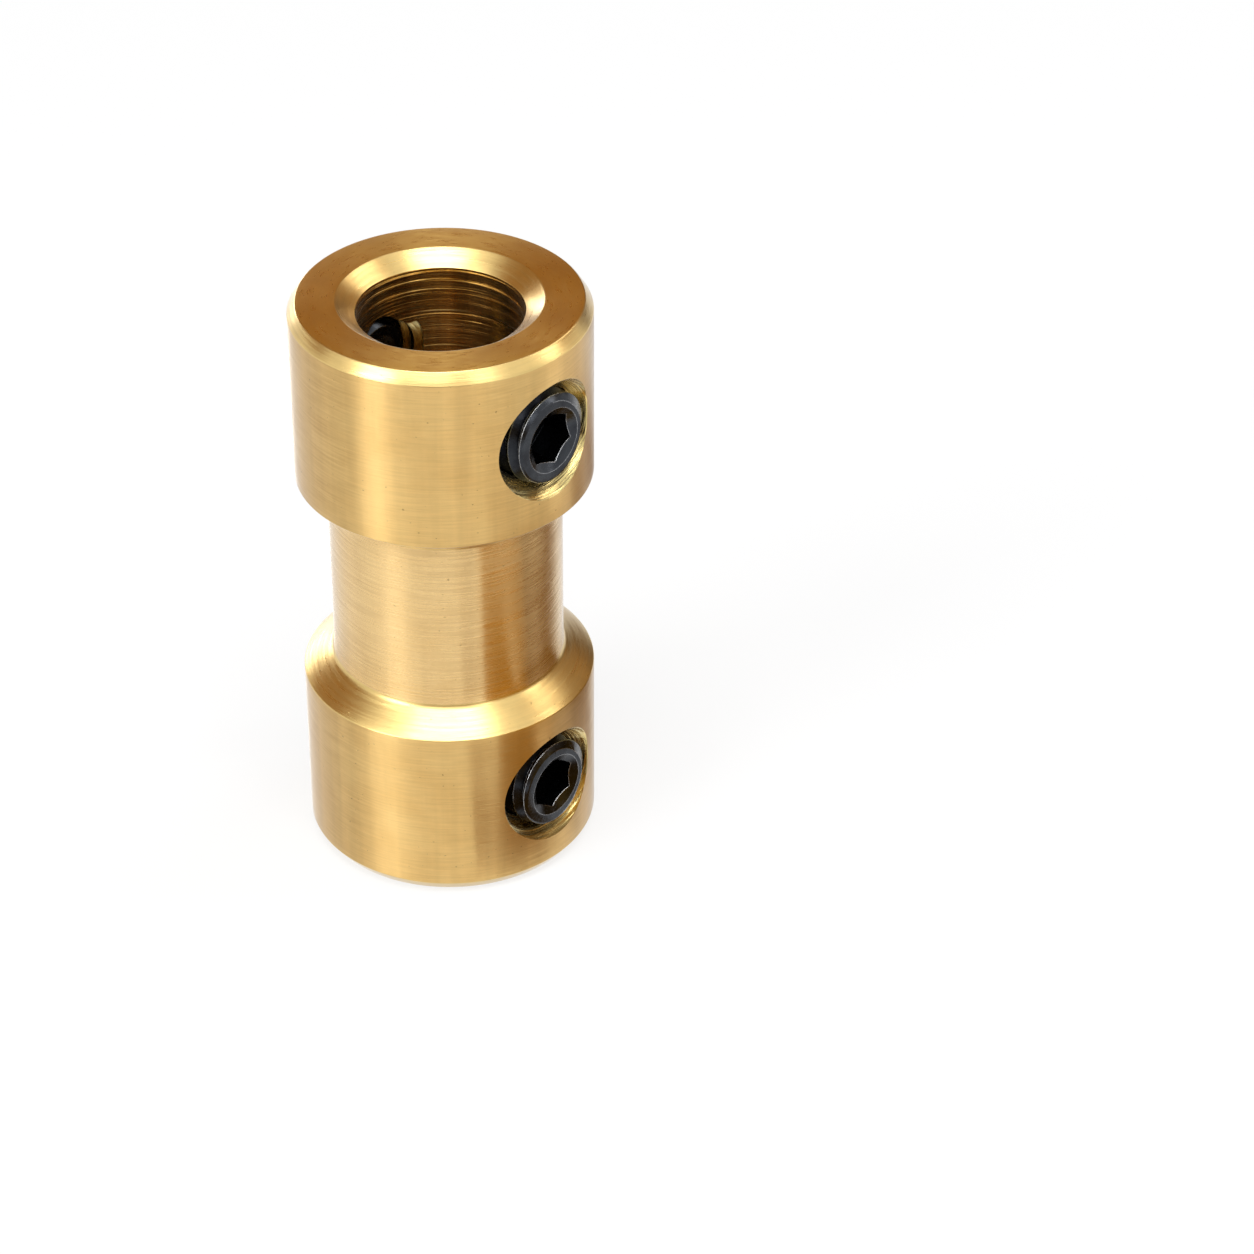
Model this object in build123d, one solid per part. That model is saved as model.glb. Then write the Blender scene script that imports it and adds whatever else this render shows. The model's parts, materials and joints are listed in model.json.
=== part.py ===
from build123d import *

import os
from math import cos, radians, tan

os.makedirs("parts", exist_ok=True)

# Rigid shaft coupling: a turned brass sleeve that joins two shafts of the same size, and a cup-point
# set screw through each side of both its collars.
# Millimetres. +Z runs up the shaft axis, the origin is the centre of the lower end face, and the
# front set screws look along +X.

# Turned sleeve
outer_diameter = 9.0
overall_length = 18.6
bore_diameter = 5.0
neck_diameter = 7.1
collar_length = 5.8  # from an end face to where the outer surface turns into the shoulder
shoulder_length = 0.63  # along the axis, where the collar tapers down to the neck
tool_nose_radius = 0.24  # left by the turning tool where a shoulder meets the neck
end_chamfer_radial = 0.25
end_chamfer_axial = 0.35
lead_in_radial = 0.58  # countersink that guides a shaft into the bore
lead_in_axial = 0.42

# Tapped cross holes, one through both walls of each collar
thread_diameter = 3.0
screw_from_end = 3.05
mouth_diameter = 3.8  # of the countersink that deburrs each mouth, where the wall is highest
mouth_angle = 60.0

# Set screws
screw_clearance = 0.05  # radial, from the hole
face_recess = 0.02  # the face lies this far under the sleeve's outer diameter
tip_clearance = 0.1  # the tip stops this far outside the bore, so that a shaft can pass
face_chamfer = 0.13
point_chamfer = 0.45
cup_lip = 0.3  # width of the flat ring round the cup
cup_angle = 120.0
hex_across_flats = 1.5
hex_lead_in = 0.16  # radial, past the hexagon's corners
hex_lead_in_angle = 118.0
socket_web = 0.34  # metal left between the socket's flat floor and the cup

outer_radius = outer_diameter / 2
bore_radius = bore_diameter / 2
neck_radius = neck_diameter / 2
thread_radius = thread_diameter / 2
mouth_radius = mouth_diameter / 2
screw_radius = thread_radius - screw_clearance
screw_face_x = outer_radius - face_recess
screw_length = screw_face_x - bore_radius - tip_clearance
screw_heights = {"lower": screw_from_end, "upper": overall_length - screw_from_end}
screw_sides = {"front": 1, "rear": -1}


def cone_depth(radial, included_angle):
    """Axial length over which a cone of that included angle changes its radius by radial."""
    return radial / tan(radians(included_angle / 2))


def make_turned_blank():
    """The sleeve as it leaves the lathe, before its cross holes are drilled."""
    lower_outline = [
        (bore_radius, lead_in_axial),
        (bore_radius + lead_in_radial, 0),
        (outer_radius - end_chamfer_radial, 0),
        (outer_radius, end_chamfer_axial),
        (outer_radius, collar_length),
        (neck_radius, collar_length + shoulder_length),
    ]
    upper_outline = [(r, overall_length - z) for r, z in reversed(lower_outline)]
    with BuildPart() as blank:
        with BuildSketch(Plane.XZ) as half_section:
            with BuildLine():
                Polyline(*lower_outline, *upper_outline, close=True)
            make_face()
            neck_ends = half_section.vertices().filter_by_position(
                Axis.X, neck_radius, neck_radius
            )
            fillet(neck_ends, radius=tool_nose_radius)
        revolve(axis=Axis.Z)
    return blank.part


def make_hole_cutter():
    """A tapped hole through both walls along X, with both its mouths countersunk."""
    countersink = Cone(
        thread_radius,
        mouth_radius,
        cone_depth(mouth_radius - thread_radius, mouth_angle),
        align=(Align.CENTER, Align.CENTER, Align.MAX),
    )
    cutter = Cylinder(thread_radius, outer_diameter, rotation=(0, 90, 0))
    for side in screw_sides.values():
        cutter += Plane(origin=(side * outer_radius, 0, 0), z_dir=(side, 0, 0)) * countersink
    return cutter


def make_coupling_body():
    body = make_turned_blank()
    cutter = make_hole_cutter()
    for height in screw_heights.values():
        body -= Pos(0, 0, height) * cutter
    return body


def make_set_screw():
    """A cup-point socket set screw, with its face on the XY plane and its point down."""
    tip_radius = screw_radius - point_chamfer
    cup_radius = tip_radius - cup_lip
    cup_depth = cone_depth(cup_radius, cup_angle)
    outline = [
        (0, -screw_length + cup_depth),
        (cup_radius, -screw_length),
        (tip_radius, -screw_length),
        (screw_radius, -screw_length + point_chamfer),
        (screw_radius, -face_chamfer),
        (screw_radius - face_chamfer, 0),
        (0, 0),
    ]
    with BuildPart() as screw:
        with BuildSketch(Plane.XZ):
            with BuildLine():
                Polyline(*outline, close=True)
            make_face()
        revolve(axis=Axis.Z)

    socket_depth = screw_length - cup_depth - socket_web
    hex_corner_radius = hex_across_flats / 2 / cos(radians(30))
    lead_in_radius = hex_corner_radius + hex_lead_in
    hexagon = RegularPolygon(hex_across_flats / 2, 6, major_radius=False)
    socket = extrude(Plane((0, 0, -socket_depth)) * hexagon, socket_depth)
    lead_in = Cone(
        0,
        lead_in_radius,
        cone_depth(lead_in_radius, hex_lead_in_angle),
        align=(Align.CENTER, Align.CENTER, Align.MAX),
    )
    return screw.part - socket - lead_in


def place_set_screw(screw, height, side):
    """Turns the face outwards through one wall and lifts the screw to its collar."""
    seat = Plane(origin=(side * screw_face_x, 0, height), z_dir=(side, 0, 0))
    return seat * screw


export_step(make_coupling_body(), "parts/coupling_body.step")

set_screw = make_set_screw()
for level, height in screw_heights.items():
    for side_name, side in screw_sides.items():
        placed = place_set_screw(set_screw, height, side)
        export_step(placed, f"parts/{level}_{side_name}_set_screw.step")
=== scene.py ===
import json
from math import ceil, cos, pi, radians, sin, sqrt, tan
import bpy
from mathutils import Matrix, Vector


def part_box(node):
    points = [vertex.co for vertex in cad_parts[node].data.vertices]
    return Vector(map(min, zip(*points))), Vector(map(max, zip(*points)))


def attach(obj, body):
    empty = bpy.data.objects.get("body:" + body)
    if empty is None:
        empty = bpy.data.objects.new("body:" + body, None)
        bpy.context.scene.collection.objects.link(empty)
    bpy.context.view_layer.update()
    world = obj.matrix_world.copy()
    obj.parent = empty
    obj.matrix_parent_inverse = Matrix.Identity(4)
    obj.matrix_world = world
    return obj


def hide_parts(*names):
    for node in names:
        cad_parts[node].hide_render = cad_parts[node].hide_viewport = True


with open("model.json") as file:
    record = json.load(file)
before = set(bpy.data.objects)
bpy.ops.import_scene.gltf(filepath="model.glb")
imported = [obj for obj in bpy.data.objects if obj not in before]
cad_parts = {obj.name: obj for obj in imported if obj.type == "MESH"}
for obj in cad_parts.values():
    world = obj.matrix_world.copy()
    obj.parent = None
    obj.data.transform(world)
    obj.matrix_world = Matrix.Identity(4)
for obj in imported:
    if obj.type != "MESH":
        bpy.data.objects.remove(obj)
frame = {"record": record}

from types import SimpleNamespace

import bmesh
import bpy
from mathutils import Matrix, Vector

bl_info = {
    "name": "Shaft Coupling Finish",
    "version": (1, 0, 0),
    "blender": (4, 5, 0),
    "location": "3D View > Sidebar > Coupling",
    "description": "Turned brass and black set screws for a rigid shaft coupling, and a studio round it",
    "category": "Object",
}

MM = 0.001

SLEEVE_NODE = "coupling_body"
SCREW_NODES = (
    "upper_front_set_screw",
    "upper_rear_set_screw",
    "lower_front_set_screw",
    "lower_rear_set_screw",
)
BODY_OF_NODE = {
    node: body for body, nodes in frame["record"]["behaviour"]["bodies"].items() for node in nodes
}
BORE_RADIUS = next(m["dims"]["r_mm"] for m in frame["record"]["mounts"] if m["name"] == "bore")

# How finely the round shapes are divided
SLEEVE_STEPS = 288
THREAD_STEPS = 72
CUTTER_STEPS = 144  # of a countersink, and of the blank that gives a set screw its ends
CARD_STEPS = 24
CORNER_SEGMENTS = 4
HEXAGON_SEGMENTS = 3  # round each upright edge of a socket
ROW_HEIGHT = 0.4  # millimetres, the longest edge along the sleeve's outline

# How meshes are cut, welded and shaded, with lengths in millimetres
OVERSHOOT = 0.5  # how far a cutter reaches past what it cuts
WELD_DISTANCE = 1e-4
SMOOTH_ANGLE = radians(28)  # an edge that turns more than this is shaded sharp

# Threads, with lengths in millimetres
THREAD_FLANK = radians(30)
TAP_SOFTENING = 0.02
SCREW_SOFTENING = 0.025
CORNER_LEAN = 0.48  # of a softened corner, along the axis for each millimetre up the flank
SPARE_TURNS = 2  # at both ends of a rod before it is cut to length

# A face of the turned sleeve whose normal rises more than this was faced, or chamfered
FACED_RISE = 0.99
CHAMFERED_RISE = 0.2


def length_property(name, description, millimetres):
    return bpy.props.FloatProperty(
        name=name,
        description=description,
        default=millimetres * MM,
        min=0.0,
        precision=5,
        subtype="DISTANCE",
        unit="LENGTH",
    )


def angle_property(name, description, degrees):
    return bpy.props.FloatProperty(
        name=name, description=description, default=radians(degrees), subtype="ANGLE", unit="ROTATION"
    )


def colour_property(name, description, srgb_hex):
    return bpy.props.FloatVectorProperty(
        name=name,
        description=description,
        default=linear(srgb_hex),
        size=4,
        min=0.0,
        max=1.0,
        subtype="COLOR",
    )


def linear(srgb_hex):
    """An sRGB colour such as e0b876 as the linear RGBA that Blender's sockets take."""
    channels = [int(srgb_hex[i : i + 2], 16) / 255 for i in (0, 2, 4)]
    return tuple(c / 12.92 if c <= 0.04045 else ((c + 0.055) / 1.055) ** 2.4 for c in channels) + (1.0,)


class SleeveSizes(bpy.types.PropertyGroup):
    """Sizes of the turned brass sleeve that the frame's boxes don't give."""

    neck_diameter: length_property("Neck Diameter", "Diameter of the thinner middle", 7.1)
    collar_length: length_property("Collar Length", "From an end face to the shoulder's outer edge", 5.8)
    shoulder_length: length_property("Shoulder Length", "Length of the taper from collar to neck", 0.63)
    end_chamfer_radial: length_property("End Chamfer Radial", "Chamfer of an end, measured inwards", 0.25)
    end_chamfer_axial: length_property("End Chamfer Axial", "Chamfer of an end, measured along", 0.35)
    lead_in_radial: length_property("Lead-in Radial", "Countersink of the bore, measured outwards", 0.58)
    lead_in_axial: length_property("Lead-in Axial", "Countersink of the bore, measured along", 0.42)
    edge_break: length_property("Edge Break", "Rounding that deburring leaves on the turned edges", 0.03)
    tool_nose_radius: length_property("Tool Nose Radius", "Inside corner between shoulder and neck", 0.24)
    mouth_diameter: length_property("Mouth Diameter", "Countersink at the mouth of each hole", 3.8)
    mouth_angle: angle_property("Mouth Angle", "Included angle of the countersink", 60.0)
    mouth_rim: length_property("Mouth Rim", "Chamfer that deburring leaves round each mouth", 0.03)
    tap_diameter: length_property("Tap Diameter", "Outer diameter of the holes' threads", 3.0)
    flank_clearance: length_property("Flank Clearance", "Gap between the two threads' flanks", 0.03)
    root_clearance: length_property("Root Clearance", "Gap from a hole's thread to the screw's groove", 0.09)


class ScrewSizes(bpy.types.PropertyGroup):
    """Sizes of the set screws that the frame's boxes don't give."""

    pitch: length_property("Pitch", "Distance from thread to thread", 0.5)
    thread_depth: length_property("Thread Depth", "Depth of the groove between two threads", 0.27)
    crest_width: length_property("Crest Width", "Width of a thread's top", 0.09)
    thread_turn: angle_property("Thread Turn", "Turn of the thread about its screw", 99.0)
    face_chamfer: length_property("Face Chamfer", "Chamfer from the face to the thread", 0.13)
    point_chamfer: length_property("Point Chamfer", "Chamfer from the thread to the tip", 0.45)
    cup_lip: length_property("Cup Lip", "Width of the ring round the cup", 0.3)
    cup_angle: angle_property("Cup Angle", "Included angle of the cup", 120.0)
    edge_round: length_property("Edge Round", "Rounding of the ends' edges and of the hexagon's", 0.03)
    hex_across_flats: length_property("Hexagon", "Size of the key that the socket takes", 1.5)
    hex_lead_in: length_property("Socket Lead-in", "How far the lead-in passes the hexagon's corners", 0.16)
    hex_lead_in_angle: angle_property("Lead-in Angle", "Included angle of the socket's lead-in", 118.0)
    socket_web: length_property("Socket Web", "Metal between the socket's floor and the cup", 0.34)
    upper_front_turn: angle_property("Upper Front Turn", "Turn of the key's socket", 11.3)
    upper_rear_turn: angle_property("Upper Rear Turn", "Turn of the key's socket", 40.0)
    lower_front_turn: angle_property("Lower Front Turn", "Turn of the key's socket", 55.0)
    lower_rear_turn: angle_property("Lower Rear Turn", "Turn of the key's socket", 27.0)


class FinishSettings(bpy.types.PropertyGroup):
    """Colours of the finishes."""

    turned_brass: colour_property("Turned Brass", "Fresh brass of the collars", "e7c27e")
    # Painted lighter than the collars' brass: a painted highlight that brightens the neck
    necked_brass: colour_property("Necked Brass", "Fresh brass of the thinner middle", "f2cf92")
    # Painted paler than the collars' brass, so that the lights on the chamfers show whiter: a painted
    # highlight
    chamfered_brass: colour_property("Chamfered Brass", "Burnished brass of the chamfers", "e8c983")
    faced_brass: colour_property("Faced Brass", "Brass of the end faces", "e9c26b")
    tarnished_brass: colour_property("Tarnished Brass", "Brass that has begun to darken", "c99a54")
    bored_brass: colour_property("Bored Brass", "Torn brass inside the bore", "e6b868")
    tapped_brass: colour_property("Tapped Brass", "Fresh brass in the cross holes", "f2dc96")
    pit_dirt: colour_property("Pit Dirt", "Dirt in the pits of the brass", "4a3212")
    black_oxide: colour_property("Black Oxide", "Blackened steel", "43464a")
    thick_oxide: colour_property("Thick Oxide", "Blackened steel where the oxide lies thick", "2e3034")
    # Painted shade: the near black that the hollows of the thread and the socket are darkened towards
    painted_hollow_shade: colour_property("Painted Hollow Shade", "Oil and dirt in the thread and the socket", "08080b")
    # Light grey of the outer edges: partly wear, partly a painted highlight
    rubbed_and_highlit_steel: colour_property("Rubbed And Highlit Steel", "Bare steel where an edge is rubbed", "b4b5b7")


class StudioSettings(bpy.types.PropertyGroup):
    """Camera and lights."""

    lens: bpy.props.FloatProperty(
        name="Lens", description="Focal length on a 36 mm sensor", default=108.71, subtype="DISTANCE_CAMERA"
    )
    camera_place: bpy.props.FloatVectorProperty(
        name="Camera Place",
        description="Where the camera stands, with the X axis to the right of the picture",
        default=(5.518 * MM, -96.459 * MM, 73.605 * MM),
        subtype="TRANSLATION",
        unit="LENGTH",
    )
    look_down: angle_property("Look Down", "How far the camera tilts below the horizon", 34.65)
    camera_roll: angle_property("Camera Roll", "Turn about the line of sight", 0.338)
    camera_azimuth: angle_property("Camera Azimuth", "Turn of the camera about the coupling", 41.4)


def own_properties(group):
    """The group's properties by name, without the two that every group has."""
    return {name: rna for name, rna in group.bl_rna.properties.items() if name not in ("rna_type", "name")}


def in_millimetres(group):
    """The group's values, with its lengths in millimetres."""
    values = SimpleNamespace()
    for name, rna in own_properties(group).items():
        value = getattr(group, name)
        setattr(values, name, value / MM if rna.unit == "LENGTH" else value)
    return values


def box_in_millimetres(node):
    low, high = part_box(node)
    return low / MM, high / MM


def seat_of(node):
    """A set screw's side of the sleeve, how far out its face lies, its height, radius and length."""
    low, high = box_in_millimetres(node)
    return SimpleNamespace(
        side=1 if high.x > 0 else -1,
        face=max(high.x, -low.x),
        height=(low.z + high.z) / 2,
        radius=(high.y - low.y) / 2,
        length=high.x - low.x,
    )


# Meshes are shaped in millimetres, because Blender's bevel and weld steps work to about a thousandth of
# a unit, and finish_piece turns them into metres.
def new_object(name, bm, materials=()):
    """Makes an object of a bmesh whose faces are turned outwards first."""
    bmesh.ops.recalc_face_normals(bm, faces=bm.faces)
    mesh = bpy.data.meshes.new(name)
    bm.to_mesh(mesh)
    bm.free()
    for material in materials:
        mesh.materials.append(material)
    piece = bpy.data.objects.new(name, mesh)
    bpy.context.scene.collection.objects.link(piece)
    return piece


def carve(piece, tool, operation):
    """Cuts, joins or intersects piece with tool, and removes the tool. The new faces keep the tool's
    material index."""
    modifier = piece.modifiers.new(operation.title(), "BOOLEAN")
    modifier.object = tool
    modifier.operation = operation
    modifier.solver = "MANIFOLD"
    apply_modifiers(piece)
    bpy.data.meshes.remove(tool.data)


def apply_modifiers(piece):
    evaluated = piece.evaluated_get(bpy.context.evaluated_depsgraph_get())
    mesh = bpy.data.meshes.new_from_object(evaluated)
    piece.modifiers.clear()
    old = piece.data
    piece.data = mesh
    bpy.data.meshes.remove(old)


def finish_piece(piece, node):
    """Smooth shading with sharp machined edges, metres, and the frame's notes."""
    piece.data.transform(Matrix.Scale(MM, 4))
    piece.data.shade_smooth()
    piece.data.set_sharp_from_angle(angle=SMOOTH_ANGLE)
    weighted = piece.modifiers.new("Weighted Normal", "WEIGHTED_NORMAL")
    weighted.keep_sharp = True
    apply_modifiers(piece)
    piece.data.name = piece.name
    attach(piece, BODY_OF_NODE[node])
    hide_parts(node)


def rounded_outline(bm, corners):
    """A closed outline in the XZ plane. corners lists (radius, height, rounding)."""
    verts = [bm.verts.new((x, 0, z)) for x, z, _ in corners]
    bm.faces.new(verts)
    for vert, (_, _, rounding) in zip(verts, corners):
        if rounding:
            bmesh.ops.bevel(
                bm,
                geom=[vert],
                offset=rounding,
                offset_type="OFFSET",
                affect="VERTICES",
                segments=CORNER_SEGMENTS,
                profile=0.5,
                material=-1,
            )
    bmesh.ops.delete(bm, geom=bm.faces[:], context="FACES_ONLY")


def spun_solid(bm, corners, steps):
    """Fills bm with a solid of revolution whose outline starts and ends on the Z axis."""
    rounded_outline(bm, corners)
    axis_edge = [e for e in bm.edges if all(abs(v.co.x) < WELD_DISTANCE for v in e.verts)]
    bmesh.ops.delete(bm, geom=axis_edge, context="EDGES")
    spin_outline(bm, steps)


def divide_long_edges(bm, longest):
    for edge in bm.edges[:]:
        cuts = ceil(edge.calc_length() / longest) - 1
        if cuts > 0:
            bmesh.ops.subdivide_edges(bm, edges=[edge], cuts=cuts)


def spin_outline(bm, steps, angle=2 * pi, climb=0.0):
    """Spins what bm holds about the Z axis, lifted by climb on the way, and welds a full turn."""
    full_turn = angle == 2 * pi
    bmesh.ops.spin(
        bm,
        geom=bm.verts[:] + bm.edges[:],
        cent=(0, 0, 0),
        axis=(0, 0, 1),
        dvec=(0, 0, climb / steps),
        angle=angle,
        steps=steps,
        use_merge=full_turn and not climb,
    )
    if full_turn:
        bmesh.ops.remove_doubles(bm, verts=bm.verts, dist=WELD_DISTANCE)


def cone_depth(radial, included_angle):
    """Length over which a cone of that included angle changes its radius by radial."""
    return radial / tan(included_angle / 2)


def thread_outline(crest_radius, root_radius, crest_width, pitch, softening):
    """One pitch of a 60 degree thread, from groove to groove, as (share of the pitch, radius). The
    crest's middle lies at half the pitch, and softening is how much is cut off each corner."""
    half_crest = crest_width / 2
    half_root = half_crest + (crest_radius - root_radius) * tan(THREAD_FLANK)
    cut = softening / 2
    lean = cut * CORNER_LEAN
    rising = [
        (-half_root - cut, root_radius),
        (-half_root + lean, root_radius + cut),
        (-half_crest - lean, crest_radius - cut),
        (-half_crest + cut, crest_radius),
    ]
    falling = [(-offset, radius) for offset, radius in reversed(rising)]
    return [(0.5 + offset / pitch, radius) for offset, radius in rising + falling]


def threaded_rod(name, outline, pitch, turn, low, high):
    """A right-handed threaded rod along Z, turned about it and cut off square at low and high."""
    bm = bmesh.new()
    first = ceil(low / pitch) - SPARE_TURNS - 1  # one more, because the spin climbs by a pitch
    last = ceil(high / pitch) + SPARE_TURNS
    chain = [
        bm.verts.new((radius, 0, (thread + share) * pitch))
        for thread in range(first, last)
        for share, radius in outline
    ]
    for lower, upper in zip(chain, chain[1:]):
        bm.edges.new((lower, upper))
    spin_outline(bm, THREAD_STEPS, climb=pitch)
    bmesh.ops.rotate(bm, verts=bm.verts, cent=(0, 0, 0), matrix=Matrix.Rotation(turn, 3, "Z"))
    for height, outwards in ((low, -1), (high, 1)):
        cut = bmesh.ops.bisect_plane(
            bm,
            geom=bm.verts[:] + bm.edges[:] + bm.faces[:],
            plane_co=(0, 0, height),
            plane_no=(0, 0, outwards),
            clear_outer=True,
        )
        rim = [e for e in cut["geom_cut"] if isinstance(e, bmesh.types.BMEdge)]
        bmesh.ops.triangle_fill(bm, use_beauty=True, edges=rim, normal=(0, 0, outwards))
    return new_object(name, bm)


def hole_matrix(seat):
    """From a hole's own frame, with Z outwards and its origin in the set screw's face, to the sleeve's."""
    turn = Matrix.Rotation(radians(90) * seat.side, 4, "Y")
    return Matrix.Translation((seat.side * seat.face, 0, seat.height)) @ turn


class COUPLING_OT_turned_sleeve(bpy.types.Operator):
    """Builds the turned brass sleeve with its four tapped holes"""

    bl_idname = "coupling.turned_sleeve"
    bl_label = "Turned Sleeve"

    def execute(self, context):
        sleeve = in_millimetres(context.scene.coupling_sleeve)
        screw = in_millimetres(context.scene.coupling_screws)
        _, high = box_in_millimetres(SLEEVE_NODE)
        materials = [cut_brass(name, context.scene.coupling_finish) for name in FINISH_ORDER]
        piece = self.turned_blank(sleeve, high.x, high.z, materials)
        carve(piece, self.tapped_holes(sleeve, screw, high.x, materials), "DIFFERENCE")
        finish_piece(piece, SLEEVE_NODE)
        return {"FINISHED"}

    def turned_blank(self, sleeve, outer_radius, overall_length, materials):
        """The sleeve as it leaves the lathe, before its cross holes are drilled."""
        neck_radius = sleeve.neck_diameter / 2
        crisp = sleeve.edge_break
        lower = [
            (BORE_RADIUS, sleeve.lead_in_axial, crisp),
            (BORE_RADIUS + sleeve.lead_in_radial, 0, crisp),
            (outer_radius - sleeve.end_chamfer_radial, 0, crisp),
            (outer_radius, sleeve.end_chamfer_axial, crisp),
            (outer_radius, sleeve.collar_length, crisp),
            (neck_radius, sleeve.collar_length + sleeve.shoulder_length, sleeve.tool_nose_radius / 2),
        ]
        upper = [(r, overall_length - z, rounding) for r, z, rounding in reversed(lower)]
        bm = bmesh.new()
        rounded_outline(bm, lower + upper)
        divide_long_edges(bm, ROW_HEIGHT)
        spin_outline(bm, SLEEVE_STEPS)
        bm.normal_update()
        for ring_face in bm.faces:
            ring_face.material_index = FINISH_ORDER.index(self.cut_of(ring_face, neck_radius, crisp))
        return new_object("turned_brass_sleeve", bm, materials)

    def cut_of(self, ring_face, neck_radius, slack):
        """The finish that a face of the blank has, told from where it lies and which way it looks."""
        radius = ring_face.calc_center_median().xy.length
        rise = abs(ring_face.normal.z)
        if radius < BORE_RADIUS + slack / 2:
            return "bored_brass"
        if rise > FACED_RISE:
            return "faced_brass"
        if rise > CHAMFERED_RISE:
            return "chamfered_brass"
        if radius < neck_radius + slack:
            return "necked_brass"
        return "turned_brass"

    def tapped_holes(self, sleeve, screw, crown, materials):
        """One tool that cuts all four holes, each with its thread in step with its set screw's."""
        tools = bmesh.new()
        for node in SCREW_NODES:
            seat = seat_of(node)
            hole = self.tapped_hole(sleeve, screw, seat, crown)
            hole.data.transform(hole_matrix(seat))
            tools.from_mesh(hole.data)
            bpy.data.meshes.remove(hole.data)
        for tool_face in tools.faces:
            tool_face.material_index = FINISH_ORDER.index("tapped_brass")
        return new_object("tapped_holes", tools, materials)

    def tapped_hole(self, sleeve, screw, seat, crown):
        """The tap and the countersink of one hole, with the set screw's face at Z = 0."""
        tap_radius = sleeve.tap_diameter / 2
        core_radius = seat.radius - screw.thread_depth + sleeve.root_clearance
        widening = 2 * (sleeve.flank_clearance - (tap_radius - seat.radius) * tan(THREAD_FLANK))
        crest_width = screw.crest_width + widening
        outline = thread_outline(tap_radius, core_radius, crest_width, screw.pitch, TAP_SOFTENING)
        bottom = BORE_RADIUS - seat.face - OVERSHOOT
        mouth = crown - seat.face
        tool = threaded_rod("tap", outline, screw.pitch, screw.thread_turn, bottom, mouth + OVERSHOOT)
        countersink = self.countersink(sleeve, crown)
        countersink.data.transform(Matrix.Translation((0, 0, mouth)))
        carve(tool, countersink, "UNION")
        return tool

    def countersink(self, sleeve, crown):
        """Deburrs a mouth, with the highest line of the wall at Z = 0. All but its tip follows the round
        wall, and its top opens at 45 degrees, which leaves a fine rim."""
        rim = sleeve.mouth_rim
        radius = sleeve.mouth_diameter / 2 - rim
        tip = -rim - cone_depth(radius, sleeve.mouth_angle)
        corners = [
            (0, tip, 0),
            (radius, -rim, 0),
            (radius + rim + OVERSHOOT, OVERSHOOT, 0),
            (0, OVERSHOOT, 0),
        ]
        bm = bmesh.new()
        spun_solid(bm, corners, CUTTER_STEPS)
        for vert in bm.verts:
            if vert.co.z > tip / 2:
                vert.co.z += sqrt(crown**2 - vert.co.y**2) - crown
        return new_object("countersink", bm)


class COUPLING_OT_set_screws(bpy.types.Operator):
    """Builds the four black cup-point set screws"""

    bl_idname = "coupling.set_screws"
    bl_label = "Set Screws"

    def execute(self, context):
        screw = in_millimetres(context.scene.coupling_screws)
        finish = black_oxide_steel(context.scene.coupling_finish)
        for node in SCREW_NODES:
            seat = seat_of(node)
            socket_turn = getattr(screw, node.replace("_set_screw", "_turn"))
            piece = self.set_screw(screw, seat, socket_turn, finish)
            piece.name = node.replace("set_screw", "socket_screw")
            piece.data.transform(hole_matrix(seat))
            finish_piece(piece, node)
        return {"FINISHED"}

    def set_screw(self, screw, seat, socket_turn, finish):
        """A set screw with its face at Z = 0 and its point down."""
        bottom = -seat.length
        root_radius = seat.radius - screw.thread_depth
        outline = thread_outline(seat.radius, root_radius, screw.crest_width, screw.pitch, SCREW_SOFTENING)
        turn = screw.thread_turn
        piece = threaded_rod("set_screw", outline, screw.pitch, turn, bottom - OVERSHOOT, OVERSHOOT)
        piece.data.materials.append(finish)
        tip_radius = seat.radius - screw.point_chamfer
        cup_radius = tip_radius - screw.cup_lip
        cup_depth = cone_depth(cup_radius, screw.cup_angle)
        hex_corner = screw.hex_across_flats / 2 / cos(radians(30))
        lead_in_radius = hex_corner + screw.hex_lead_in
        corners = [
            (0, bottom + cup_depth, 0),
            (cup_radius, bottom, screw.edge_round),
            (tip_radius, bottom, screw.edge_round),
            (seat.radius + OVERSHOOT, bottom + screw.point_chamfer + OVERSHOOT, 0),
            (seat.radius + OVERSHOOT, -screw.face_chamfer - OVERSHOOT, 0),
            (seat.radius - screw.face_chamfer, 0, screw.edge_round),
            (lead_in_radius, 0, 0),
            (0, -cone_depth(lead_in_radius, screw.hex_lead_in_angle), 0),
        ]
        blank = bmesh.new()
        spun_solid(blank, corners, CUTTER_STEPS)
        carve(piece, new_object("blank", blank), "INTERSECT")
        socket_depth = seat.length - cup_depth - screw.socket_web
        carve(piece, self.hexagon(hex_corner, socket_depth, socket_turn, screw.edge_round), "DIFFERENCE")
        return piece

    def hexagon(self, corner_radius, depth, turn, edge_round):
        """Cuts the key's socket, from above Z = 0 down to depth."""
        middle = Matrix.Translation((0, 0, (OVERSHOOT - depth) / 2))
        bm = bmesh.new()
        bmesh.ops.create_cone(
            bm,
            cap_ends=True,
            segments=6,
            radius1=corner_radius,
            radius2=corner_radius,
            depth=depth + OVERSHOOT,
            matrix=Matrix.Rotation(turn - radians(90), 4, "Z") @ middle,
        )
        upright = [e for e in bm.edges if abs(e.verts[0].co.z - e.verts[1].co.z) > WELD_DISTANCE]
        bmesh.ops.bevel(
            bm,
            geom=upright,
            offset=edge_round,
            offset_type="OFFSET",
            affect="EDGES",
            segments=HEXAGON_SEGMENTS,
            profile=0.5,
            material=-1,
        )
        return new_object("hexagon", bm)


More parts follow.
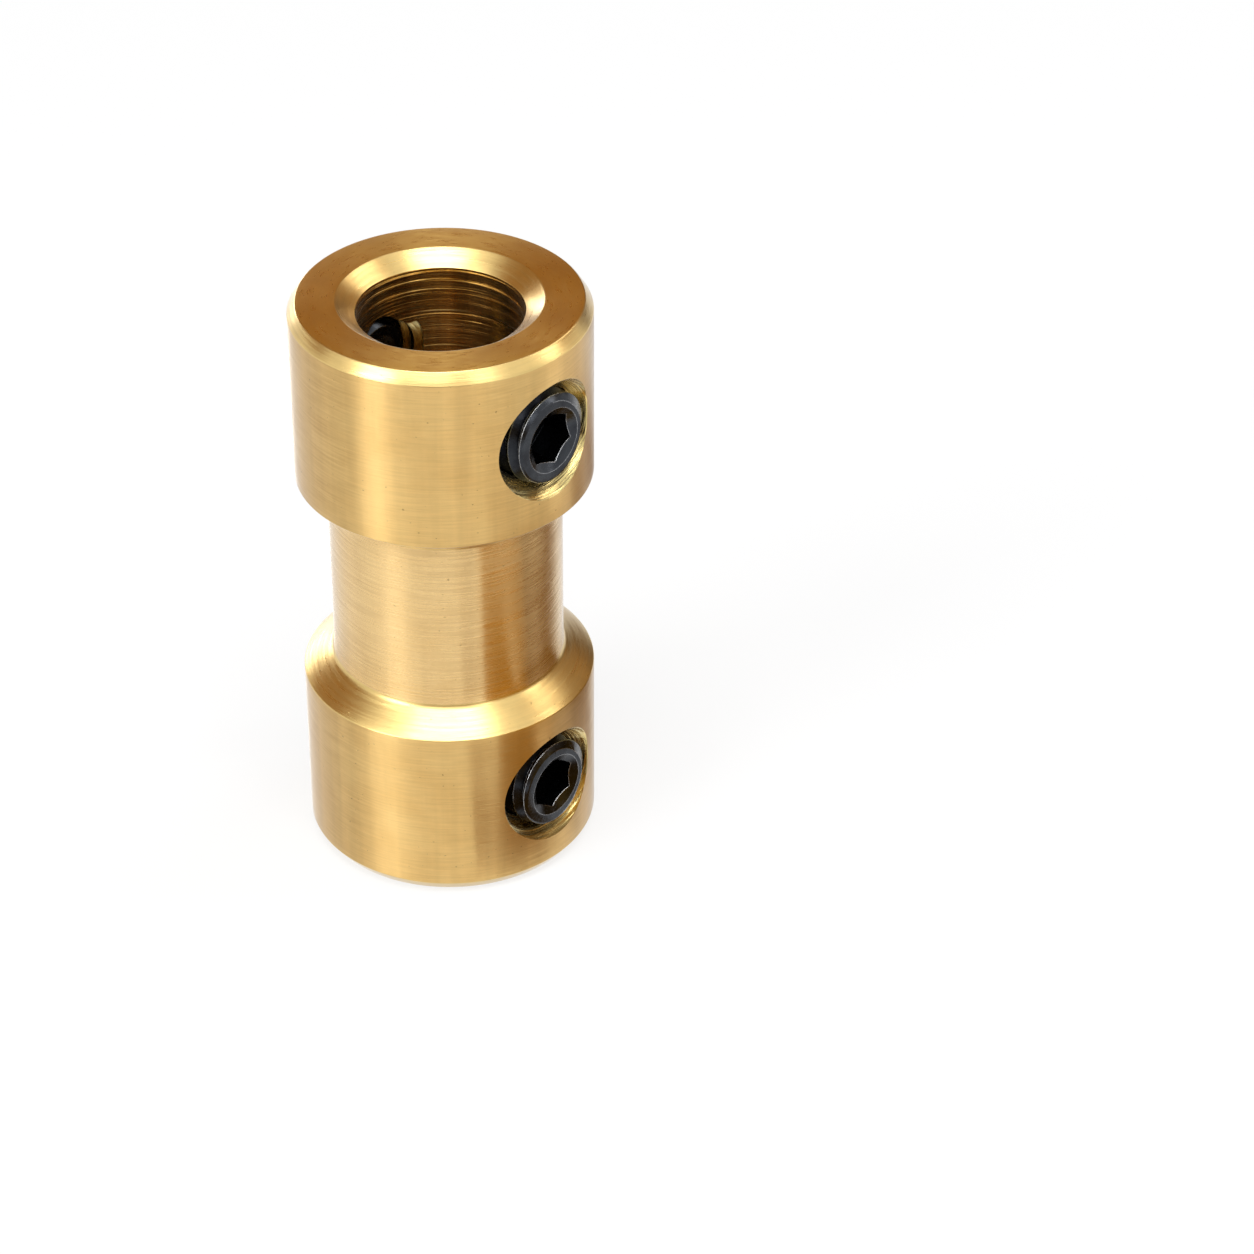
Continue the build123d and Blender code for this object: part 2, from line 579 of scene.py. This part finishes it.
def add_node(tree, kind, sockets=None, **settings):
    """Adds a node with its settings. sockets gives each input a value or the output that feeds it."""
    node = tree.nodes.new(kind)
    for name, value in settings.items():
        setattr(node, name, value)
    for key, value in (sockets or {}).items():
        if isinstance(value, bpy.types.NodeSocket):
            tree.links.new(value, node.inputs[key])
        else:
            node.inputs[key].default_value = value
    return node


def empty_material(name):
    material = bpy.data.materials.new(name)
    material.use_nodes = True
    material.node_tree.nodes.clear()
    return material, material.node_tree


# A Mix node has a set of sockets for each kind of data. Its colour sockets go by number.
MIX_FACTOR, MIX_FROM, MIX_TO = 0, 6, 7
MIX_RESULT = 2

# Which part of a noise, most of which lies between 0.3 and 0.7, shows in a pattern
WHOLE_NOISE = {"From Min": 0.3, "From Max": 0.7}
MIDDLE_NOISE = {"From Min": 0.35, "From Max": 0.65}
LOWER_NOISE = {"From Min": 0.35, "From Max": 0.6}
UPPER_NOISE = {"From Min": 0.42, "From Max": 0.75}
NOISE_PEAKS = {"From Min": 0.83, "From Max": 0.87}

# Patterns that all the brass has, as features for each millimetre along the marks and across them
CHATTER_PER_MM = 0.12  # along them only
FLATS_PER_MM = (1.6, 0.08)
TARNISH_PER_MM = (0.55, 0.55)
SPECKS_PER_MM = (9.0, 15.0)

PIT_DEPTH = 0.01  # millimetres
ROUGHNESS_SPREAD = 0.05  # between the bottoms of the streaks and their tops
QUARTER_TURN = 0.25


def cut_brass(name, finish):
    """Free-cutting brass as the tool leaves it, with the marks that BRASS_FINISHES gives under that name."""
    marks = BRASS_FINISHES[name]
    material, tree = empty_material(name)
    place = marks.place(tree)

    def noise(along, across, detail, roughness=0.5):
        """Noise with that many features for each millimetre along the marks and across them."""
        stretched = add_node(
            tree, "ShaderNodeVectorMath", {0: place, 1: (along, along, across)}, operation="MULTIPLY"
        )
        texture = add_node(
            tree,
            "ShaderNodeTexNoise",
            {"Vector": stretched.outputs["Vector"], "Scale": 1.0, "Detail": detail, "Roughness": roughness},
        )
        return texture.outputs["Fac"]

    streaks = noise(1 / marks.streak_length, 1 / marks.streak_width, 3.0, 0.6)
    chatter = noise(CHATTER_PER_MM, 1 / marks.chatter_pitch, 2.0)
    flats = noise(*FLATS_PER_MM, 3.0, 0.6)
    tarnish = noise(*TARNISH_PER_MM, 4.0, 0.6)
    specks = noise(*SPECKS_PER_MM, 0.0)

    tarnished = add_node(
        tree,
        "ShaderNodeMapRange",
        {"Value": tarnish, **UPPER_NOISE, "To Min": 0.0, "To Max": marks.tarnish},
    )
    base = add_node(
        tree,
        "ShaderNodeMix",
        {
            MIX_FACTOR: tarnished.outputs["Result"],
            MIX_FROM: tuple(getattr(finish, name)),
            MIX_TO: tuple(finish.tarnished_brass),
        },
        data_type="RGBA",
    )
    streak_shade = add_node(
        tree,
        "ShaderNodeMapRange",
        {"Value": streaks, **WHOLE_NOISE, "To Min": 1.0 - marks.streak_contrast, "To Max": 1.0},
    )
    streaked = add_node(
        tree,
        "ShaderNodeMix",
        {MIX_FACTOR: 1.0, MIX_FROM: base.outputs[MIX_RESULT], MIX_TO: streak_shade.outputs["Result"]},
        data_type="RGBA",
        blend_type="MULTIPLY",
    )
    flat_shade = add_node(
        tree,
        "ShaderNodeMapRange",
        {"Value": flats, **MIDDLE_NOISE, "To Min": 1.0 - marks.flat_contrast, "To Max": 1.0},
    )
    banded = add_node(
        tree,
        "ShaderNodeMix",
        {MIX_FACTOR: 1.0, MIX_FROM: streaked.outputs[MIX_RESULT], MIX_TO: flat_shade.outputs["Result"]},
        data_type="RGBA",
        blend_type="MULTIPLY",
    )
    pitted = add_node(
        tree,
        "ShaderNodeMapRange",
        {"Value": specks, **NOISE_PEAKS, "To Min": 0.0, "To Max": marks.pitting},
    )
    colour = add_node(
        tree,
        "ShaderNodeMix",
        {
            MIX_FACTOR: pitted.outputs["Result"],
            MIX_FROM: banded.outputs[MIX_RESULT],
            MIX_TO: tuple(finish.pit_dirt),
        },
        data_type="RGBA",
    )
    # Seen along the surface, the colour is whitened by the fifth power of how far the eye is from upright: a
    # painted sheen, added to the white edge that the shader's own Fresnel already gives a metal
    glancing = add_node(tree, "ShaderNodeLayerWeight", {"Blend": 0.5})
    painted_sheen = add_node(
        tree, "ShaderNodeMath", {0: glancing.outputs["Facing"], 1: 5.0}, operation="POWER", use_clamp=True
    )
    with_painted_sheen = add_node(
        tree,
        "ShaderNodeMix",
        {
            MIX_FACTOR: painted_sheen.outputs["Value"],
            MIX_FROM: colour.outputs[MIX_RESULT],
            MIX_TO: (1.0, 1.0, 1.0, 1.0),
        },
        data_type="RGBA",
    )
    rough = add_node(
        tree,
        "ShaderNodeMapRange",
        {
            "Value": streaks,
            **WHOLE_NOISE,
            "To Min": marks.roughness + ROUGHNESS_SPREAD,
            "To Max": marks.roughness - ROUGHNESS_SPREAD,
        },
    )
    fine = add_node(
        tree, "ShaderNodeBump", {"Strength": 1.0, "Distance": marks.streak_depth * MM, "Height": streaks}
    )
    broad = add_node(
        tree,
        "ShaderNodeBump",
        {
            "Strength": 1.0,
            "Distance": marks.chatter_depth * MM,
            "Height": chatter,
            "Normal": fine.outputs["Normal"],
        },
    )
    pits = add_node(
        tree,
        "ShaderNodeBump",
        {
            "Strength": 1.0,
            "Distance": PIT_DEPTH * MM,
            "Height": pitted.outputs["Result"],
            "Normal": broad.outputs["Normal"],
        },
        invert=True,
    )
    shader = add_node(
        tree,
        "ShaderNodeBsdfPrincipled",
        {
            "Base Color": with_painted_sheen.outputs[MIX_RESULT],
            "Metallic": 1.0,
            "Roughness": rough.outputs["Result"],
            "Anisotropic": marks.anisotropy,
            "Normal": pits.outputs["Normal"],
        },
    )
    if marks.anisotropy:
        # The tangent runs round the sleeve, and lights smear across it
        tangent = add_node(tree, "ShaderNodeTangent", direction_type="RADIAL", axis="Z")
        shader.inputs["Anisotropic Rotation"].default_value = QUARTER_TURN
        tree.links.new(tangent.outputs["Tangent"], shader.inputs["Tangent"])
    add_node(tree, "ShaderNodeOutputMaterial", {"Surface": shader.outputs["BSDF"]})
    return material


def rings_up_z(tree):
    """Object coordinates in millimetres, whose last axis runs across marks that are stacked up Z."""
    coordinates = add_node(tree, "ShaderNodeTexCoord")
    millimetres = add_node(
        tree,
        "ShaderNodeVectorMath",
        {0: coordinates.outputs["Object"], "Scale": 1 / MM},
        operation="SCALE",
    )
    return millimetres.outputs["Vector"]


def rings_along_x(tree):
    """The same for marks that lie side by side along X."""
    axes = add_node(tree, "ShaderNodeSeparateXYZ", {"Vector": rings_up_z(tree)})
    turned = add_node(
        tree,
        "ShaderNodeCombineXYZ",
        {"X": axes.outputs["Y"], "Y": axes.outputs["Z"], "Z": axes.outputs["X"]},
    )
    return turned.outputs["Vector"]


def rings_outwards(tree):
    """The same for marks that lie one inside the other about Z."""
    axes = add_node(tree, "ShaderNodeSeparateXYZ", {"Vector": rings_up_z(tree)})
    level = {"X": axes.outputs["X"], "Y": axes.outputs["Y"]}
    arm = add_node(tree, "ShaderNodeCombineXYZ", {**level, "Z": 0.0})
    radius = add_node(tree, "ShaderNodeVectorMath", {0: arm.outputs["Vector"]}, operation="LENGTH")
    rings = add_node(tree, "ShaderNodeCombineXYZ", {**level, "Z": radius.outputs["Value"]})
    return rings.outputs["Vector"]


# Lengths in millimetres. Real turning marks are 0.02 to 0.04 wide, which is too fine to show, so
# streak_width is drawn two to three times as coarse as they are.
BRASS_FINISHES = {
    # Turned on a lathe: fine scratches run round it and smear every light along the axis
    "turned_brass": SimpleNamespace(
        place=rings_up_z,
        streak_length=1.4,
        streak_width=0.06,
        streak_contrast=0.12,
        streak_depth=0.008,
        chatter_pitch=0.4,
        chatter_depth=0.004,
        tarnish=0.35,
        flat_contrast=0.1,
        pitting=0.45,
        roughness=0.38,
        anisotropy=1.0,
    ),
    # Turned down with a narrower tool, with coarser scratches; its colour is painted lighter than the
    # collars', a painted highlight that brightens the neck
    "necked_brass": SimpleNamespace(
        place=rings_up_z,
        streak_length=2.0,
        streak_width=0.07,
        streak_contrast=0.1,
        streak_depth=0.012,
        chatter_pitch=0.3,
        chatter_depth=0.006,
        tarnish=0.2,
        flat_contrast=0.07,
        pitting=0.35,
        roughness=0.28,
        anisotropy=1.0,
    ),
    # Cut with the flank of a form tool: smoother, so that lights show brighter and sharper; its colour is
    # painted paler than the collars', so that the lights on the chamfers show whiter, a painted highlight
    "chamfered_brass": SimpleNamespace(
        place=rings_up_z,
        streak_length=2.5,
        streak_width=0.07,
        streak_contrast=0.16,
        streak_depth=0.009,
        chatter_pitch=0.15,
        chatter_depth=0.006,
        tarnish=0.1,
        flat_contrast=0.08,
        pitting=0.3,
        roughness=0.31,
        anisotropy=0.5,
    ),
    # Faced across the end of the bar: nearly smooth rings, a little duller than the outside
    "faced_brass": SimpleNamespace(
        place=rings_outwards,
        streak_length=0.5,
        streak_width=0.08,
        streak_contrast=0.05,
        streak_depth=0.0005,
        chatter_pitch=0.6,
        chatter_depth=0.001,
        tarnish=0.5,
        flat_contrast=0.0,
        pitting=0.0,
        roughness=0.31,
        anisotropy=0.8,
    ),
    # Drilled out: deep rings with a few torn ones that catch the light
    "bored_brass": SimpleNamespace(
        place=rings_up_z,
        streak_length=8.0,
        streak_width=0.09,
        streak_contrast=0.5,
        streak_depth=0.016,
        chatter_pitch=0.2,
        chatter_depth=0.11,
        tarnish=0.2,
        flat_contrast=0.45,
        pitting=0.3,
        roughness=0.24,
        anisotropy=0.7,
    ),
    # Cut by a tap and a countersink: coarse rings round the hole
    "tapped_brass": SimpleNamespace(
        place=rings_along_x,
        streak_length=1.6,
        streak_width=0.07,
        streak_contrast=0.7,
        streak_depth=0.02,
        chatter_pitch=0.13,
        chatter_depth=0.04,
        tarnish=0.15,
        flat_contrast=0.0,
        pitting=0.3,
        roughness=0.24,
        anisotropy=0.0,
    ),
}
FINISH_ORDER = list(BRASS_FINISHES)  # of the sleeve's material slots

# The oxide's own grain is far too fine to show, so it is drawn coarse enough to break up the gloss
GRAINS_PER_MM = 8
WEAR_PER_MM = 1.1

# Lengths in millimetres
OXIDE_RELIEF = 0.004
RUBBED_AND_HIGHLIT_WIDTH = 0.04
SHELTER_REACH = 0.7
HOLLOW_REACH = 0.15

OXIDE_ROUGHNESS = {"To Min": 0.18, "To Max": 0.3}
LEAST_RUBBED_AND_HIGHLIT = 0.55  # of an edge's wear and painted highlight where the grain lies low


def black_oxide_steel(finish):
    """Steel blackened in a hot bath: a thin dark skin with a satin gloss, rubbed bright along its edges."""
    material, tree = empty_material("black_oxide_steel")
    coordinates = add_node(tree, "ShaderNodeTexCoord")
    grain = add_node(
        tree,
        "ShaderNodeTexNoise",
        {
            "Vector": coordinates.outputs["Object"],
            "Scale": GRAINS_PER_MM / MM,
            "Detail": 3.0,
            "Roughness": 0.6,
        },
    )
    wear = add_node(
        tree,
        "ShaderNodeTexNoise",
        {"Vector": coordinates.outputs["Object"], "Scale": WEAR_PER_MM / MM, "Detail": 4.0, "Roughness": 0.6},
    )
    worn = add_node(
        tree,
        "ShaderNodeMapRange",
        {"Value": wear.outputs["Fac"], **MIDDLE_NOISE, "To Min": 0.0, "To Max": 1.0},
    )
    skin = add_node(
        tree,
        "ShaderNodeMix",
        {
            MIX_FACTOR: worn.outputs["Result"],
            MIX_FROM: tuple(finish.thick_oxide),
            MIX_TO: tuple(finish.black_oxide),
        },
        data_type="RGBA",
    )
    # Painted shade: where ambient occlusion finds a hollow, in the thread and the socket, the colour is
    # darkened towards near black
    sheltered = add_node(tree, "ShaderNodeAmbientOcclusion", {"Distance": SHELTER_REACH * MM}, samples=8)
    exposed = add_node(
        tree,
        "ShaderNodeMapRange",
        {"Value": sheltered.outputs["AO"], "From Min": 0.25, "From Max": 0.75, "To Min": 0.0, "To Max": 1.0},
    )
    hollow_shaded = add_node(
        tree,
        "ShaderNodeMix",
        {
            MIX_FACTOR: exposed.outputs["Result"],
            MIX_FROM: tuple(finish.painted_hollow_shade),
            MIX_TO: skin.outputs[MIX_RESULT],
        },
        data_type="RGBA",
    )

    # Wear and a painted highlight, in light grey along the outer edges: the rounded normal leaves the flat
    # one only near an edge, and a hollow corner is shaded by its walls
    rounded = add_node(tree, "ShaderNodeBevel", {"Radius": RUBBED_AND_HIGHLIT_WIDTH * MM}, samples=6)
    surface = add_node(tree, "ShaderNodeNewGeometry")
    alike = add_node(
        tree,
        "ShaderNodeVectorMath",
        {0: rounded.outputs["Normal"], 1: surface.outputs["Normal"]},
        operation="DOT_PRODUCT",
    )
    edge = add_node(
        tree,
        "ShaderNodeMapRange",
        {"Value": alike.outputs["Value"], "From Min": 0.998, "From Max": 0.96, "To Min": 0.0, "To Max": 1.0},
    )
    openness = add_node(tree, "ShaderNodeAmbientOcclusion", {"Distance": HOLLOW_REACH * MM}, samples=6)
    outside = add_node(
        tree,
        "ShaderNodeMapRange",
        {"Value": openness.outputs["AO"], "From Min": 0.7, "From Max": 0.95, "To Min": 0.0, "To Max": 1.0},
    )
    outer_edge = add_node(
        tree,
        "ShaderNodeMath",
        {0: edge.outputs["Result"], 1: outside.outputs["Result"]},
        operation="MULTIPLY",
    )
    patchy = add_node(
        tree,
        "ShaderNodeMapRange",
        {"Value": grain.outputs["Fac"], **LOWER_NOISE, "To Min": LEAST_RUBBED_AND_HIGHLIT, "To Max": 1.0},
    )
    rubbed_and_highlit = add_node(
        tree,
        "ShaderNodeMath",
        {0: outer_edge.outputs["Value"], 1: patchy.outputs["Result"]},
        operation="MULTIPLY",
    )
    colour = add_node(
        tree,
        "ShaderNodeMix",
        {
            MIX_FACTOR: rubbed_and_highlit.outputs["Value"],
            MIX_FROM: hollow_shaded.outputs[MIX_RESULT],
            MIX_TO: tuple(finish.rubbed_and_highlit_steel),
        },
        data_type="RGBA",
    )
    rough = add_node(
        tree,
        "ShaderNodeMapRange",
        {"Value": grain.outputs["Fac"], **WHOLE_NOISE, **OXIDE_ROUGHNESS},
    )
    bump = add_node(
        tree,
        "ShaderNodeBump",
        {
            "Strength": 1.0,
            "Distance": OXIDE_RELIEF * MM,
            "Height": grain.outputs["Fac"],
            "Normal": rounded.outputs["Normal"],
        },
    )
    shader = add_node(
        tree,
        "ShaderNodeBsdfPrincipled",
        {
            "Base Color": colour.outputs[MIX_RESULT],
            "Metallic": 1.0,
            "Roughness": rough.outputs["Result"],
            "Normal": bump.outputs["Normal"],
        },
    )
    add_node(tree, "ShaderNodeOutputMaterial", {"Surface": shader.outputs["BSDF"]})
    return material


SENSOR_WIDTH = 36.0  # millimetres

# Lengths in metres
CLIP_START = 0.01
FLOOR_REACH = 1.0
LAMP_DISTANCE = 0.35

# The table to the eye and to metal is a glow and a share that takes the coupling's shadow
TABLE_WHITE = 0.9
TABLE_SHADED = 0.2
TABLE_GLOW = 0.76

ROOM_LIGHT = 0.3  # of the white room, beside 1 for what the camera sees of it


class COUPLING_OT_studio(bpy.types.Operator):
    """Sets the floor, the lights, the white background and the camera"""

    bl_idname = "coupling.studio"
    bl_label = "Studio"

    def execute(self, context):
        studio = context.scene.coupling_studio
        self.camera(context.scene, studio)
        self.floor()
        self.background(context.scene)
        self.lights(studio)
        self.cards(studio)
        context.scene.view_settings.view_transform = "Standard"
        return {"FINISHED"}

    def camera(self, scene, studio):
        data = bpy.data.cameras.new("photo_camera")
        data.sensor_width = SENSOR_WIDTH
        data.lens = studio.lens
        data.clip_start = CLIP_START
        camera = bpy.data.objects.new("photo_camera", data)
        scene.collection.objects.link(camera)
        around = Matrix.Rotation(studio.camera_azimuth, 4, "Z")
        tilt = Matrix.Rotation(radians(90) - studio.look_down, 4, "X")
        roll = Matrix.Rotation(studio.camera_roll, 4, "Z")
        camera.matrix_world = around @ Matrix.Translation(Vector(studio.camera_place)) @ tilt @ roll
        scene.camera = camera

    def floor(self):
        """A white table that keeps the shadow of the coupling."""
        bm = bmesh.new()
        bmesh.ops.create_grid(bm, x_segments=1, y_segments=1, size=FLOOR_REACH)
        floor = new_object("floor", bm)
        material, tree = empty_material("white_table")
        lit = add_node(tree, "ShaderNodeBsdfDiffuse", {"Color": grey(TABLE_WHITE)})
        shaded = add_node(tree, "ShaderNodeBsdfDiffuse", {"Color": grey(TABLE_SHADED)})
        glow = add_node(tree, "ShaderNodeEmission", {"Color": grey(1.0), "Strength": TABLE_GLOW})
        pale = add_node(tree, "ShaderNodeAddShader", {0: glow.outputs["Emission"], 1: shaded.outputs["BSDF"]})
        mix = add_node(
            tree,
            "ShaderNodeMixShader",
            {0: seen_rays(tree), 1: lit.outputs["BSDF"], 2: pale.outputs["Shader"]},
        )
        add_node(tree, "ShaderNodeOutputMaterial", {"Surface": mix.outputs["Shader"]})
        floor.data.materials.append(material)

    def background(self, scene):
        """White to the camera, to metal and to glass, and a plain light to everything else."""
        world = bpy.data.worlds.new("white_room")
        scene.world = world
        world.use_nodes = True
        tree = world.node_tree
        tree.nodes.clear()
        light = add_node(tree, "ShaderNodeBackground", {"Color": grey(1.0), "Strength": ROOM_LIGHT})
        white = add_node(tree, "ShaderNodeBackground", {"Color": grey(1.0), "Strength": 1.0})
        mix = add_node(
            tree,
            "ShaderNodeMixShader",
            {0: seen_rays(tree), 1: light.outputs["Background"], 2: white.outputs["Background"]},
        )
        add_node(tree, "ShaderNodeOutputWorld", {"Surface": mix.outputs["Shader"]})

    def lights(self, studio):
        for name, azimuth, elevation, size, brightness in SOFTBOXES:
            place = self.direction(studio, azimuth, elevation) * LAMP_DISTANCE
            self.area_light(name, place, size, brightness)

    def direction(self, studio, azimuth, elevation):
        """A direction from the coupling, with azimuth 0 towards the camera and positive to its right."""
        around = studio.camera_azimuth - radians(90) + radians(azimuth)
        up = radians(elevation)
        return Vector((cos(up) * cos(around), cos(up) * sin(around), sin(up)))

    def area_light(self, name, place, size, brightness):
        """A soft light that looks at the coupling and that metal sees with that brightness."""
        data = bpy.data.lights.new(name, "AREA")
        data.shape = "RECTANGLE"
        data.size, data.size_y = size
        data.energy = brightness * pi * size[0] * size[1]
        light = bpy.data.objects.new(name, data)
        bpy.context.scene.collection.objects.link(light)
        aim = (-place).to_track_quat("-Z", "Y").to_matrix().to_4x4()
        light.matrix_world = Matrix.Translation(place) @ aim

    def cards(self, studio):
        for name, azimuth, width, outline, colour in CARDS:
            bm = bmesh.new()
            start = self.direction(studio, azimuth - width / 2, 0)
            rim = [bm.verts.new(start * radius + Vector((0, 0, height))) for radius, height in outline]
            for lower, upper in zip(rim, rim[1:]):
                bm.edges.new((lower, upper))
            spin_outline(bm, CARD_STEPS, radians(width))
            card = new_object(name, bm)
            card.visible_camera = False
            card.visible_diffuse = False
            card.visible_shadow = False
            material, tree = empty_material(name)
            glow = add_node(tree, "ShaderNodeEmission", {"Color": linear(colour), "Strength": 1.0})
            add_node(tree, "ShaderNodeOutputMaterial", {"Surface": glow.outputs["Emission"]})
            card.data.materials.append(material)


def grey(level):
    return (level, level, level, 1.0)


def seen_rays(tree):
    """1 for rays from the camera, from metal and through glass, and 0 for those that only carry light."""
    path = add_node(tree, "ShaderNodeLightPath")
    direct = add_node(
        tree,
        "ShaderNodeMath",
        {0: path.outputs["Is Camera Ray"], 1: path.outputs["Is Glossy Ray"]},
        operation="MAXIMUM",
    )
    every = add_node(
        tree,
        "ShaderNodeMath",
        {0: direct.outputs["Value"], 1: path.outputs["Is Transmission Ray"]},
        operation="MAXIMUM",
    )
    return every.outputs["Value"]


# Soft lights: name, azimuth and elevation in degrees, width and height in metres, and brightness beside
# the white background
SOFTBOXES = (
    ("overhead_softbox", 0, 76, (0.22, 0.16), 6.5),
    ("left_softbox", -50, 36, (0.12, 0.2), 6.5),
    ("front_softbox", -6, 42, (0.16, 0.1), 1.8),
    ("front_right_softbox", 36, 38, (0.08, 0.1), 3.5),
    ("right_softbox", 94, 32, (0.06, 0.2), 3.8),
    ("back_right_softbox", 125, 45, (0.13, 0.15), 2.8),
    ("back_left_softbox", -147, 9, (0.16, 0.07), 5.0),
)

# Cards that only metal sees: name, azimuth and width in degrees, outline as radius and height in metres,
# and colour. The far ones are the darker room behind the lights and give the brass its deep bands. The near
# ones shade the right of the neck and of the lower collar brown.
CARDS = (
    ("back_card", 180, 175, ((0.58, 0.16), (0.52, 0.3), (0.3, 0.52)), "9c7340"),
    ("back_right_card", 150, 44, ((0.56, 0.0), (0.56, 0.16)), "4a3416"),
    ("front_card", 2, 50, ((0.6, 0.02), (0.6, 0.26)), "8a6c48"),
    ("low_card", 36, 44, ((0.0055, 0.0004), (0.0075, 0.0006), (0.0095, 0.0024)), "8a6020"),
    ("high_left_card", 48, 36, ((0.0095, 0.0024), (0.0095, 0.0095)), "b88a2c"),
    ("high_right_card", 88, 44, ((0.0095, 0.0008), (0.0095, 0.0095)), "7a5408"),
    ("side_card", 106, 36, ((0.0095, 0.0095), (0.0095, 0.013)), "80580c"),
)


class COUPLING_PT_finish(bpy.types.Panel):
    bl_label = "Shaft Coupling"
    bl_idname = "COUPLING_PT_finish"
    bl_space_type = "VIEW_3D"
    bl_region_type = "UI"
    bl_category = "Coupling"

    def draw(self, context):
        for operator in OPERATORS:
            self.layout.operator(operator.bl_idname)
        for name in SCENE_SETTINGS:
            group = getattr(context.scene, name)
            column = self.layout.column(heading=type(group).__doc__)
            for prop in own_properties(group):
                column.prop(group, prop)


OPERATORS = (COUPLING_OT_turned_sleeve, COUPLING_OT_set_screws, COUPLING_OT_studio)
SCENE_SETTINGS = {
    "coupling_sleeve": SleeveSizes,
    "coupling_screws": ScrewSizes,
    "coupling_finish": FinishSettings,
    "coupling_studio": StudioSettings,
}
CLASSES = (*SCENE_SETTINGS.values(), *OPERATORS, COUPLING_PT_finish)


def register():
    for cls in CLASSES:
        bpy.utils.register_class(cls)
    for name, group in SCENE_SETTINGS.items():
        setattr(bpy.types.Scene, name, bpy.props.PointerProperty(type=group))


def unregister():
    for name in SCENE_SETTINGS:
        delattr(bpy.types.Scene, name)
    for cls in reversed(CLASSES):
        bpy.utils.unregister_class(cls)


def main():
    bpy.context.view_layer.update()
    register()
    bpy.ops.coupling.turned_sleeve()
    bpy.ops.coupling.set_screws()
    bpy.ops.coupling.studio()


if __name__ == "__main__":
    main()
